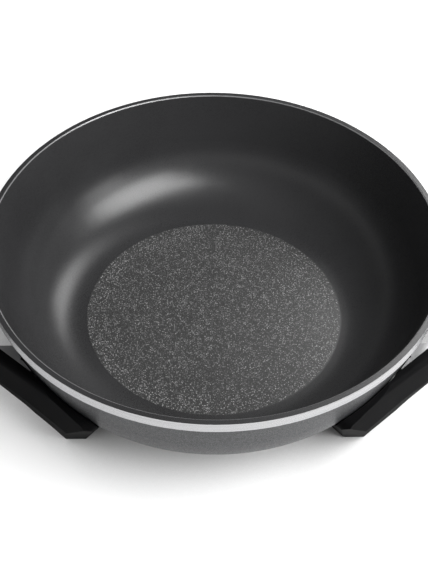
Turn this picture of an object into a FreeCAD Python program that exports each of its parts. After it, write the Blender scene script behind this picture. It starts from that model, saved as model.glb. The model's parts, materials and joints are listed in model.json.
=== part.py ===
"""Electric wok: cast bowl on two handle-and-leg frames, with a plug-in thermostat at the back.

Sizes are millimetres. Z is up and z = 0 is the table. The sketches are drawn about the bowl's
upright axis, and each finished piece is then moved along Y, so that the origin is the middle of
the wok's footprint: the thermostat reaches further back than the rim reaches forward.
"""
import FreeCAD, Part
import math
import os
import Sketcher

os.makedirs("parts", exist_ok=True)
doc = FreeCAD.newDocument("electric_wok")

# Driving sizes: a name, its value, and what it measures
SIZES = [
    # Bowl
    ("rim_radius", 180.0, "outside of the bright rim band"),
    ("rim_height", 125.0, "top of the rim above the table"),
    ("band_height", 8.4, "height of the bright rim band"),
    ("band_step", 2.5, "how far the band stands out from the wall"),
    ("rim_bevel", 0.7, "bevel along the rim's inner edge"),
    ("wall_lean", 12.0, "outward lean of the wall, degrees from upright"),
    ("wall_thick", 3.6, "wall thickness"),
    ("base_height", 23.0, "underside of the bowl above the table"),
    ("outer_round", 80.0, "outside curve between base and wall"),
    ("floor_height", 33.4, "cooking floor above the table"),
    ("inner_round", 60.6, "inside curve between floor and wall"),
    # Heating element pressed into a channel under the base
    ("ring_inset", 102.0, "element's ring inside the rim's radius"),
    ("element_rod", 3.3, "radius of the element's tube"),
    ("element_slack", 0.1, "play between element and channel"),
    ("element_height", 17.0, "height of element, pins and probe"),
    ("ridge_half", 7.0, "half width of the cast ridge round the channel"),
    ("ridge_low", 13.5, "lower edge of the ridge"),
    ("lead_side", 12.0, "distance of each element end from the middle"),
    ("lead_bend", 12.0, "bend between the ring and its straight end"),
    ("lead_past", 2.0, "element's tube past the guard's inner end"),
    ("pin_radius", 1.95, "terminal pin"),
    ("pin_inset", 3.0, "pin tips inside the guard's open end"),
    ("insulator_length", 5.0, "ceramic bush at each tube end"),
    # Socket for the temperature probe
    ("socket_outer", 5.0, "outside of the probe socket tube"),
    ("socket_inner", 3.3, "bore of the probe socket tube"),
    ("socket_lead", 40.0, "closed end of the socket tube inside the element's ring"),
    ("socket_past", 4.0, "socket tube past the guard's inner end"),
    ("socket_cap", 3.0, "thickness of the closed end"),
    ("rib_half", 7.5, "half width of the cast rib that holds the socket tube"),
    ("rib_drop", 3.0, "rib below the middle of the socket tube"),
    ("rib_lead", 36.0, "inner end of that rib inside the element's ring"),
    ("rib_gap", 14.0, "outer end of that rib inside the element's ring"),
    # Guard round the terminal pins
    ("guard_half", 27.0, "half width of the guard"),
    ("guard_rise", 9.5, "half height of the guard"),
    ("guard_inset", 74.0, "inner end of the guard inside the rim's radius"),
    ("guard_length", 28.0, "length of the guard"),
    ("guard_corner", 3.0, "corner rounding of the guard"),
    ("guard_play", 0.3, "play between guard and bowl"),
    ("guard_wall", 1.8, "wall of the guard"),
    ("tab_reach", 17.0, "how far each screw tab stands out"),
    ("tab_length", 15.0, "length of each screw tab"),
    ("tab_corner", 4.0, "corner rounding of the tabs"),
    ("tab_top", 16.0, "top face of the screw tabs"),
    ("tab_boss", 5.5, "radius of the cast bosses above the tabs"),
    ("tab_boss_top", 30.0, "where the cast bosses end inside the wall"),
    # Cast lugs that carry the frames
    ("lug_drop", 35.0, "upper face of the lugs below the rim"),
    ("lug_thick", 8.0, "thickness of the lugs"),
    ("lug_ratio", 0.454, "half distance between the lugs' straight edges, as a share of the rim's radius"),
    ("lug_root_inset", 40.0, "lug's root inside the rim's radius"),
    ("lug_tip_inset", 25.0, "root of the lug's tip inside the rim's radius"),
    ("lug_tip", 33.0, "where the lug's pointed tip ends along the blade"),
    ("slot_width", 1.2, "narrow slot between wall and lug"),
    ("slot_start", 30.0, "start of the slot along the blade"),
    ("slot_stop", 46.0, "end of the slot along the blade"),
    ("slot_eye", 1.4, "radius of the round hole at that end"),
    ("gasket_thick", 1.5, "heat barrier between lug and frame"),
    ("gasket_inset", 0.5, "margin of the heat barrier inside the lug's outline"),
    # Handle-and-leg frames
    ("blade_angle", 48.7, "direction of the blade's face, degrees forward of sideways"),
    ("blade_inset", 9.4, "blade's inner face inside the rim's radius"),
    ("blade_depth", 44.0, "depth of the blade below the lugs' upper face"),
    ("lug_play", 0.3, "play between lug and blade"),
    ("bowl_play", 1.0, "air gap between bowl and frame"),
    ("grip_angle", 39.4, "angle of the blade's outer face to the side"),
    ("face_inset", 3.3, "blade's outer face inside the rim's radius"),
    ("grip_round", 58.0, "outside curve of the grip"),
    ("grip_depth", 35.0, "depth of the grip below the lugs' upper face"),
    ("finger_round", 76.0, "inside curve of the grip"),
    ("edge_round", 4.0, "rounding of the frame's upper outer edge"),
    ("blade_start", 44.0, "front end of the blade, ahead of where it touches the bowl"),
    ("leg_back", 22.0, "back of the leg block"),
    ("leg_fillet", 10.0, "curve between leg block and blade, seen from above"),
    ("web_thick", 10.5, "shelf under each lug"),
    ("web_start", 5.0, "front end of the shelf along the blade"),
    ("web_bite", 1.5, "shelf's depth inside the blade"),
    ("leg_inner_inset", 49.0, "inner side of the leg inside the rim's radius"),
    ("foot_outer_inset", 23.0, "outer side of the leg at the table, inside the rim's radius"),
    ("foot_clip", 13.5, "how much of the foot's outer corner its front face takes off"),
    ("front_lean", 54.0, "how far the leg's front face leans forward to the top"),
    ("front_round", 9.0, "rounding between the leg's front and outer faces"),
    ("foot_lead", 8.5, "leading side of the leg at the table"),
    ("brow_low", 14.0, "drop of the blade's upper edge to its front tip"),
    ("brow_front", 32.0, "front tip of that edge, ahead of where the blade touches the bowl"),
    ("brow_back", 15.0, "back end of that drop along the blade"),
    ("brow_round", 8.0, "rounding of that front tip"),
    ("foot_trail", 21.8, "trailing side of the leg"),
    ("trail_round", 24.0, "curve between leg and blade, seen from the side"),
    ("knee_inset", 6.5, "outer side at the knee inside the rim's radius"),
    ("knee_height", 42.0, "knee, where the leg's outer side leans in further"),
    ("face_lean_inset", 2.2, "outer side where the blade starts to lean in, inside the rim's radius"),
    ("face_lean_depth", 30.0, "start of that lean below the lugs' upper face"),
    # Foot pads
    ("pad_show", 1.0, "pad below the leg"),
    ("pad_depth", 4.0, "pad inside the leg"),
    ("pad_width", 6.0, "width of the pad"),
    ("pad_length", 13.0, "length of the pad"),
    ("pad_inset", 3.0, "pad outside the leg's inner side"),
    ("pad_play", 0.05, "play round the pad"),
    # Lug screws
    ("lug_screw_radius", 2.0, "shank"),
    ("lug_screw_head", 3.4, "head"),
    ("lug_screw_rise", 2.6, "head height"),
    ("lug_screw_bite", 6.0, "thread inside the lug"),
    ("screw_play", 0.2, "play round a shank in a clearance hole"),
    ("screw_spare", 0.5, "empty depth past a screw's tip"),
    ("lug_screw_inset", 4.0, "screw inside the blade's inner face"),
    ("lug_screw_edge", 4.0, "screw ahead of the lug's straight edge"),
    # Guard screws
    ("tab_screw_radius", 2.0, "shank"),
    ("tab_screw_head", 3.6, "head"),
    ("tab_screw_rise", 2.6, "head height"),
    ("tab_screw_bite", 9.0, "thread inside the boss"),
    # Thermostat case
    ("case_gap", 8.0, "case behind the guard"),
    ("case_length", 86.0, "length of the case"),
    ("case_low", 3.0, "underside of the case"),
    ("case_split", 20.0, "joint between the case halves"),
    ("case_high", 38.0, "top of the case"),
    ("case_half", 31.0, "half width at the front"),
    ("case_tail", 26.0, "half width at the back"),
    ("tail_length", 24.0, "length of the narrowing tail"),
    ("case_corner", 9.0, "corner rounding"),
    ("case_wall", 2.2, "wall of the case"),
    ("case_edge", 1.6, "rounding of the case's upper and lower edges"),
    ("case_boss", 3.8, "radius of the screw bosses"),
    ("case_screw_radius", 1.6, "shank"),
    ("case_screw_head", 2.9, "head"),
    ("case_screw_rise", 2.0, "head height"),
    ("head_gap", 0.2, "heads inside the case's underside"),
    ("case_screw_bite", 10.0, "thread inside the upper half"),
    ("case_screw_x", 24.6, "front screws from the middle"),
    ("case_screw_rear_x", 19.6, "back screws from the middle"),
    ("case_screw_edge", 8.5, "screws from the front and the back"),
    # Plug nose and contacts
    ("plug_play", 0.5, "play between plug nose and guard"),
    ("nose_inset", 8.0, "front of the plug nose past the guard's inner end"),
    ("nose_corner", 1.5, "corner rounding of the nose"),
    ("nose_bite", 6.0, "plug nose inside the case"),
    ("nose_play", 0.2, "play round the nose in the case"),
    ("receptacle_outer", 2.9, "outside of the receptacles"),
    ("receptacle_inner", 2.0, "bore of the receptacles"),
    ("receptacle_inset", 1.0, "receptacle behind the nose's front"),
    ("receptacle_spare", 6.0, "bore past the pin's tip"),
    ("press_play", 0.02, "play between pieces that are pressed together"),
    ("block_inset", 11.0, "terminal blocks behind the case's front"),
    ("block_length", 10.0, "length of the terminal blocks"),
    ("block_half", 4.0, "half width of the terminal blocks"),
    ("block_height", 15.0, "height of the terminal blocks"),
    # Temperature probe
    ("probe_radius", 3.0, "probe"),
    ("probe_gap", 1.0, "gap between the probe's tip and the socket's closed end"),
    ("clamp_inset", 12.0, "probe's clamp behind the case's front"),
    ("clamp_length", 8.0, "length of the clamp"),
    ("clamp_half", 6.0, "half width of the clamp"),
    ("clamp_height", 19.0, "height of the clamp"),
    # Switch
    ("plate_half", 8.8, "half width of the switch plate"),
    ("plate_inset", 26.0, "switch plate behind the case's front"),
    ("plate_length", 48.0, "length of the switch plate"),
    ("plate_thick", 1.5, "switch plate"),
    ("post_height", 2.0, "posts under the switch plate"),
    ("post_radius", 3.0, "posts under the switch plate"),
    ("post_inset", 6.0, "posts inside the plate's ends"),
    ("arm_thick", 0.7, "contact arm"),
    ("arm_height", 7.0, "contact arm"),
    ("arm_low", 11.0, "underside of the contact arms"),
    ("arm_inset", 2.0, "front of the contact arms past the terminal blocks' front"),
    ("arm_length", 53.0, "length of the contact arms"),
    # Dial
    ("dial_inset", 54.0, "dial's axis behind the case's front"),
    ("dial_radius", 21.0, "dial"),
    ("dial_skirt", 4.0, "height of the dial's skirt"),
    ("dial_lift", 0.4, "gap between dial and case"),
    ("dial_edge", 1.5, "rounding of the dial's upper edges"),
    ("grip_bar_half", 4.0, "half width of the dial's grip bar"),
    ("grip_bar_length", 17.0, "half length of the dial's grip bar"),
    ("grip_bar_height", 9.0, "height of the dial's grip bar"),
    ("grip_bar_round", 3.5, "ends of the grip bar"),
    ("shaft_radius", 3.0, "dial shaft"),
    ("shaft_play", 0.3, "play under the shaft and round it in the case"),
    ("shaft_grip", 6.0, "shaft inside the dial"),
    ("cam_radius", 7.0, "reach of the cam from the shaft"),
    ("cam_offset", 1.0, "cam's centre from the shaft"),
    ("cam_thick", 4.0, "cam"),
    ("cam_low", 12.0, "underside of the cam"),
    # Pilot lamp and cord inlet
    ("lamp_inset", 16.0, "lamp behind the case's front"),
    ("lamp_radius", 2.8, "neon lamp"),
    ("lamp_play", 0.3, "gap under and over the lamp"),
    ("lens_radius", 3.6, "lens"),
    ("lens_flange", 5.0, "lens flange inside the case"),
    ("lens_show", 1.4, "lens above the case"),
    ("gland_radius", 5.0, "cord inlet in the case wall"),
    ("gland_flange", 7.5, "flanges of the cord inlet"),
    ("gland_bore", 3.5, "bore of the cord inlet"),
    ("gland_show", 3.0, "cord inlet behind the case"),
    ("gland_inside", 2.5, "inner flange of the cord inlet"),
]

# Sizes and places that follow from those, so that neighbours stay together
TIED = [
    ("element_ring", "rim_radius - ring_inset", "radius of the element's ring"),
    ("socket_start", "element_ring - socket_lead", "closed inner end of the socket tube"),
    ("rib_start", "element_ring - rib_lead", "inner end of the cast rib"),
    ("rib_end", "element_ring - rib_gap", "outer end of the cast rib"),
    ("guard_start", "rim_radius - guard_inset", "inner end of the guard"),
    ("guard_end", "guard_start + guard_length", "open end of the guard"),
    ("lead_end", "guard_start + lead_past", "where the element's tube ends"),
    ("pin_end", "guard_end - pin_inset", "tip of the terminal pins"),
    ("socket_end", "guard_start + socket_past", "open end of the socket tube"),
    ("lug_top", "rim_height - lug_drop", "upper face of the lugs"),
    ("lug_rear", "rim_radius * lug_ratio", "lug's straight edge from the middle"),
    ("lug_root", "rim_radius - lug_root_inset", "depth of the lug's root inside the bowl"),
    ("lug_tip_root", "rim_radius - lug_tip_inset", "depth of the lug tip's root"),
    ("blade_inner", "rim_radius - blade_inset", "blade's inner face from the bowl's axis"),
    ("outer_face", "rim_radius - face_inset", "blade's outer face from the bowl's axis"),
    ("blade_low", "lug_top - blade_depth", "lower edge of the blade"),
    ("grip_low", "lug_top - grip_depth", "underside of the grip"),
    ("leg_inner", "rim_radius - leg_inner_inset", "inner side of the leg"),
    ("foot_outer", "rim_radius - foot_outer_inset", "outer side of the leg at the table"),
    ("foot_front", "sin(blade_angle) * foot_outer - foot_clip", "front face of the leg at the table"),
    ("knee_face", "rim_radius - knee_inset", "outer side at the knee"),
    ("lean_face", "rim_radius - face_lean_inset", "outer side where the blade starts to lean in"),
    ("lug_screw_y", "lug_rear + lug_screw_edge", "lug screw from the middle, forward or back"),
    ("lug_screw_x", "(blade_inner - lug_screw_inset - sin(blade_angle) * lug_screw_y) / cos(blade_angle)",
     "lug screw from the middle, sideways"),
    ("case_front", "guard_end + case_gap", "front of the case"),
    ("case_rear", "case_front + case_length", "back of the case"),
    ("case_waist", "case_rear - tail_length", "where the case starts to narrow"),
    ("nose_start", "guard_start + nose_inset", "front of the plug nose"),
    ("nose_end", "case_front + nose_bite", "back of the plug nose, inside the case"),
    ("block_start", "case_front + block_inset", "front of the terminal blocks"),
    ("clamp_start", "case_front + clamp_inset", "front of the probe's clamp"),
    ("probe_start", "socket_start + socket_cap + probe_gap", "tip of the probe"),
    ("probe_end", "clamp_start + clamp_length", "end of the probe inside the case"),
    ("plate_start", "case_front + plate_inset", "front of the switch plate"),
    ("plate_end", "plate_start + plate_length", "back of the switch plate"),
    ("arm_start", "block_start + arm_inset", "front of the contact arms"),
    ("dial_place", "case_front + dial_inset", "dial's axis behind the bowl's axis"),
    ("lamp_place", "case_front + lamp_inset", "lamp behind the bowl's axis"),
]

sheet = doc.addObject("Spreadsheet::Sheet", "Sizes")
ROWS = SIZES + [(alias, f"={formula}", note) for alias, formula, note in TIED]
for row, (alias, size, note) in enumerate(ROWS, start=1):
    sheet.set(f"A{row}", alias)
    sheet.set(f"B{row}", str(size))
    sheet.set(f"C{row}", note)
    sheet.setAlias(f"B{row}", alias)
doc.recompute()


class SheetNames:
    """Gives each size's formula by its name, as in q.rim_radius."""

    def __getattr__(self, alias):
        return f"Sizes.{alias}"


q = SheetNames()


def value(formula):
    """Number that a formula of sheet names stands for."""
    return float(sheet.evalExpression(str(formula)))


# Derived places, written as formulas of the sheet's names
ORIGIN_Y = f"-({q.case_rear} + {q.gland_show} - {q.rim_radius}) / 2"
BAND_LOW = f"({q.rim_height} - {q.band_height})"
WALL_EDGE = f"({q.rim_radius} - {q.band_step})"
LEAN = f"tan({q.wall_lean})"
OUTER_CORNER = f"({WALL_EDGE} - ({BAND_LOW} - {q.base_height}) * {LEAN})"
INNER_EDGE = f"({WALL_EDGE} - {q.wall_thick} / cos({q.wall_lean}))"
INNER_CORNER = f"({INNER_EDGE} - ({BAND_LOW} - {q.floor_height}) * {LEAN})"
INNER_TOP = f"({INNER_EDGE} + {q.band_height} * {LEAN})"
LUG_LOW = f"({q.lug_top} - {q.lug_thick})"
WEB_TOP = f"({LUG_LOW} - {q.gasket_thick})"
WEB_LOW = f"({WEB_TOP} - {q.web_thick})"
INNER_ANGLE = f"(90 - {q.blade_angle})"
OUTER_TIP = f"({q.outer_face} / sin({q.grip_angle}))"
INNER_TIP = f"({q.blade_inner} / sin({INNER_ANGLE}))"
GRIP_REACH = f"({OUTER_TIP} - {q.grip_round} * (1 / sin({q.grip_angle}) - 1))"
FINGER_REACH = f"({INNER_TIP} - {q.finger_round} * (1 / sin({INNER_ANGLE}) - 1))"
CHANNEL_TOP = f"({q.element_height} + {q.element_rod} + {q.element_slack} / 2)"
TAB_X = f"({q.guard_half} + {q.tab_reach} / 2)"
TAB_Y = f"({q.guard_start} + {q.tab_length} / 2)"
GUARD_LOW = f"({q.element_height} - {q.guard_rise})"
GUARD_HIGH = f"({q.element_height} + {q.guard_rise})"
NOSE_HALF = f"({q.guard_half} - {q.guard_wall} - {q.plug_play})"
NOSE_LOW = f"({GUARD_LOW} + {q.guard_wall} + {q.plug_play})"
NOSE_HIGH = f"({GUARD_HIGH} - {q.guard_wall} - {q.plug_play})"
WALL_AT_LUG = f"({WALL_EDGE} - ({BAND_LOW} - {LUG_LOW}) * {LEAN})"
CASE_FLOOR = f"({q.case_low} + {q.case_wall})"
CASE_ROOF = f"({q.case_high} - {q.case_wall})"
PLATE_LOW = f"({CASE_FLOOR} + {q.post_height})"
PLATE_TOP = f"({PLATE_LOW} + {q.plate_thick})"
SHAFT_LOW = f"({PLATE_TOP} + {q.shaft_play})"
DIAL_LOW = f"({q.case_high} + {q.dial_lift})"
CLAMP_TOP = f"({CASE_FLOOR} + {q.clamp_height})"
LENS_LOW = f"({CASE_ROOF} - {q.case_wall} / 2)"
FAR = "400"
PAST = "5"


def blade_point(depth, along):
    """Plan point at a depth from the bowl's axis and a distance along the front left blade."""
    face = q.blade_angle
    x = f"-({depth}) * cos({face}) - ({along}) * sin({face})"
    y = f"-({depth}) * sin({face}) + ({along}) * cos({face})"
    return x, y


def blade_at_rear(depth):
    """Plan point at a depth of the blade, level with the lug's straight edge."""
    x = f"-(({depth}) - sin({q.blade_angle}) * {q.lug_rear}) / cos({q.blade_angle})"
    return x, f"-{q.lug_rear}"


# Bodies, sketches and features
def new_body(name):
    body = doc.addObject("PartDesign::Body", name)
    body.Label = name
    return body


def origin_plane(body, role):
    return [item for item in body.Origin.OriginFeatures if item.Role == role][0]


def new_sketch(body, name, role, height=None, turn=None):
    """Sketch on an origin plane, moved along the plane's normal or turned about its upright."""
    sketch = body.newObject("Sketcher::SketchObject", name)
    sketch.AttachmentSupport = [(origin_plane(body, role), "")]
    sketch.MapMode = "FlatFace"
    if height is not None:
        sketch.setExpression("AttachmentOffset.Base.z", height)
    if turn is not None:
        upright = FreeCAD.Rotation(FreeCAD.Vector(0, 1, 0), 45)
        sketch.AttachmentOffset = FreeCAD.Placement(FreeCAD.Vector(0, 0, 0), upright)
        sketch.setExpression("AttachmentOffset.Rotation.Angle", turn)
    return sketch


def hold(sketch, kind, geometry, end, formula):
    """Hold one coordinate of a point at a formula's value."""
    rule = Sketcher.Constraint(kind, -1, 1, geometry, end, value(formula))
    index = sketch.addConstraint(rule)
    sketch.setExpression(f"Constraints[{index}]", formula)


def hold_point(sketch, geometry, end, x, y):
    hold(sketch, "DistanceX", geometry, end, x)
    hold(sketch, "DistanceY", geometry, end, y)


def corner_arc(before, here, after, radius):
    """Arc that rounds a corner: its two ends, its centre and whether it turns left."""
    back = (before - here).normalize()
    ahead = (after - here).normalize()
    half = back.getAngle(ahead) / 2
    reach = radius / math.tan(half)
    middle = (back + ahead).normalize()
    centre = here + middle * (radius / math.sin(half))
    turns_left = back.cross(ahead).z < 0
    return here + back * reach, here + ahead * reach, centre, turns_left


def outline(sketch, corners, flip_x=1, flip_y=1):
    """Closed outline. Each corner is (x, y) or (x, y, radius), all formulas."""
    signed = []
    for corner in corners:
        x = corner[0] if flip_x > 0 else f"-({corner[0]})"
        y = corner[1] if flip_y > 0 else f"-({corner[1]})"
        signed.append((x, y, corner[2] if len(corner) > 2 else None))
    spots = [FreeCAD.Vector(value(x), value(y), 0) for x, y, _ in signed]
    count = len(spots)
    enter, leave, arcs = [], [], {}
    for i, (x, y, radius) in enumerate(signed):
        if radius is None:
            enter.append(spots[i])
            leave.append(spots[i])
            continue
        first, last, centre, left = corner_arc(
            spots[i - 1], spots[i], spots[(i + 1) % count], value(radius))
        enter.append(first)
        leave.append(last)
        arcs[i] = (centre, left)
    sides = []
    for i in range(count):
        side = Part.LineSegment(leave[i], enter[(i + 1) % count])
        sides.append(sketch.addGeometry(side, False))
    for i, (x, y, radius) in enumerate(signed):
        before, after = sides[i - 1], sides[i]
        if radius is None:
            sketch.addConstraint(Sketcher.Constraint("Coincident", before, 2, after, 1))
            hold_point(sketch, after, 1, x, y)
            continue
        centre, left = arcs[i]
        start, stop = (enter[i], leave[i]) if left else (leave[i], enter[i])
        begin = math.atan2(start.y - centre.y, start.x - centre.x)
        finish = math.atan2(stop.y - centre.y, stop.x - centre.x)
        circle = Part.Circle(centre, FreeCAD.Vector(0, 0, 1), value(radius))
        arc = sketch.addGeometry(Part.ArcOfCircle(circle, begin, finish), False)
        first_end, last_end = (1, 2) if left else (2, 1)
        sketch.addConstraint(Sketcher.Constraint("Tangent", before, 2, arc, first_end))
        sketch.addConstraint(Sketcher.Constraint("Tangent", after, 1, arc, last_end))
        index = sketch.addConstraint(Sketcher.Constraint("Radius", arc, value(radius)))
        sketch.setExpression(f"Constraints[{index}]", radius)
        point = sketch.addGeometry(Part.Point(spots[i]), True)
        hold_point(sketch, point, 1, x, y)
        sketch.addConstraint(Sketcher.Constraint("PointOnObject", point, 1, before))
        sketch.addConstraint(Sketcher.Constraint("PointOnObject", point, 1, after))


def rectangle(sketch, low_x, low_y, high_x, high_y, radius=None):
    corners = [(low_x, low_y), (high_x, low_y), (high_x, high_y), (low_x, high_y)]
    if radius is not None:
        corners = [(x, y, radius) for x, y in corners]
    outline(sketch, corners)


def circle(sketch, x, y, radius):
    centre = FreeCAD.Vector(value(x), value(y), 0)
    ring = Part.Circle(centre, FreeCAD.Vector(0, 0, 1), value(radius))
    geometry = sketch.addGeometry(ring, False)
    hold_point(sketch, geometry, 3, x, y)
    index = sketch.addConstraint(Sketcher.Constraint("Radius", geometry, value(radius)))
    sketch.setExpression(f"Constraints[{index}]", radius)


def pad(body, sketch, length, name):
    feature = body.newObject("PartDesign::Pad", name)
    feature.Profile = sketch
    feature.setExpression("Length", length)
    return feature


def pocket(body, sketch, name, length=None, both_ways=False, up=False):
    """Cut along the sketch's normal: down by default, up, or both ways."""
    feature = body.newObject("PartDesign::Pocket", name)
    feature.Profile = sketch
    if length is None:
        feature.Type = "ThroughAll"
    else:
        feature.setExpression("Length", length)
    feature.Midplane = both_ways
    feature.Reversed = up
    return feature


def turned(body, kind, sketch, name):
    """Revolution or Groove once round the sketch's upright axis."""
    feature = body.newObject(kind, name)
    feature.Profile = sketch
    feature.ReferenceAxis = (sketch, ["V_Axis"])
    feature.Angle = 360
    return feature


def rounded(body, kind, base, names, size, name):
    """Fillet or chamfer along named edges."""
    feature = body.newObject(kind, name)
    feature.Base = (base, names)
    feature.setExpression("Radius" if kind.endswith("Fillet") else "Size", size)
    return feature


def edges_where(feature, test):
    """Names of a feature's edges whose every sampled point passes the test."""
    found = []
    for number, edge in enumerate(feature.Shape.Edges, start=1):
        points = edge.discretize(Number=5)
        if all(test(point) for point in points):
            found.append(f"Edge{number}")
    return found


# Simple solids and booleans
def put(item, x="0", y="0", z="0"):
    for axis, formula in (("x", x), ("y", y), ("z", z)):
        item.setExpression(f"Placement.Base.{axis}", formula)
    return item


def rod(name, radius, length, x="0", y="0", z="0", along="z"):
    """Cylinder from its start point, along Z or along Y."""
    item = doc.addObject("Part::Cylinder", name)
    item.setExpression("Radius", radius)
    item.setExpression("Height", length)
    if along == "y":
        item.Placement.Rotation = FreeCAD.Rotation(FreeCAD.Vector(1, 0, 0), -90)
    return put(item, x, y, z)


def block(name, low, high):
    """Box between two opposite corners."""
    item = doc.addObject("Part::Box", name)
    for size, start, stop in zip(("Length", "Width", "Height"), low, high):
        item.setExpression(size, f"({stop}) - ({start})")
    return put(item, *low)


def cut(name, base, tool):
    item = doc.addObject("Part::Cut", name)
    item.Base = base
    item.Tool = tool
    return item


def fuse(name, pieces):
    item = doc.addObject("Part::MultiFuse", name)
    item.Shapes = pieces
    item.Refine = True
    return item


def group(name, pieces):
    item = doc.addObject("Part::Compound", name)
    item.Links = pieces
    return item


def mirror(name, source, normal):
    item = doc.addObject("Part::Mirroring", name)
    item.Source = source
    item.Base = FreeCAD.Vector(0, 0, 0)
    item.Normal = FreeCAD.Vector(*normal)
    return item


NODES = []


def node(item, name, x="0", y="0", z="0", shifted=False):
    """Name a finished piece and move it from the bowl's axis to the wok's origin."""
    item.Label = name
    if not shifted:
        put(item, x, f"{y} + {ORIGIN_Y}", z)
    NODES.append(item)
    return item


# Outlines that several pieces share
def bowl_outside(sketch, play="0"):
    """Half section of the bowl's outside, larger by a play."""
    corner = f"({OUTER_CORNER} + ({play}) * (1 / cos({q.wall_lean}) - {LEAN}))"
    edge = f"({WALL_EDGE} + ({play}) / cos({q.wall_lean}))"
    outline(sketch, [
        ("0", f"{q.base_height} - ({play})"),
        (corner, f"{q.base_height} - ({play})", f"{q.outer_round} + ({play})"),
        (edge, BAND_LOW),
        (f"{q.rim_radius} + ({play})", BAND_LOW),
        (f"{q.rim_radius} + ({play})", f"{q.rim_height} + ({play})"),
        ("0", f"{q.rim_height} + ({play})"),
    ])


def lug_outline():
    """Front left lug, seen from above."""
    face = f"{q.blade_inner} - {q.lug_play}"
    return [
        blade_point(face, q.lug_tip),
        blade_at_rear(face),
        (f"-{q.lug_root}", f"-{q.lug_rear}"),
        blade_point(q.lug_tip_root, q.lug_tip),
    ]


CORNERS = [("left", "front", 1, 1), ("left", "rear", 1, -1),
           ("right", "front", -1, 1), ("right", "rear", -1, -1)]


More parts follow.
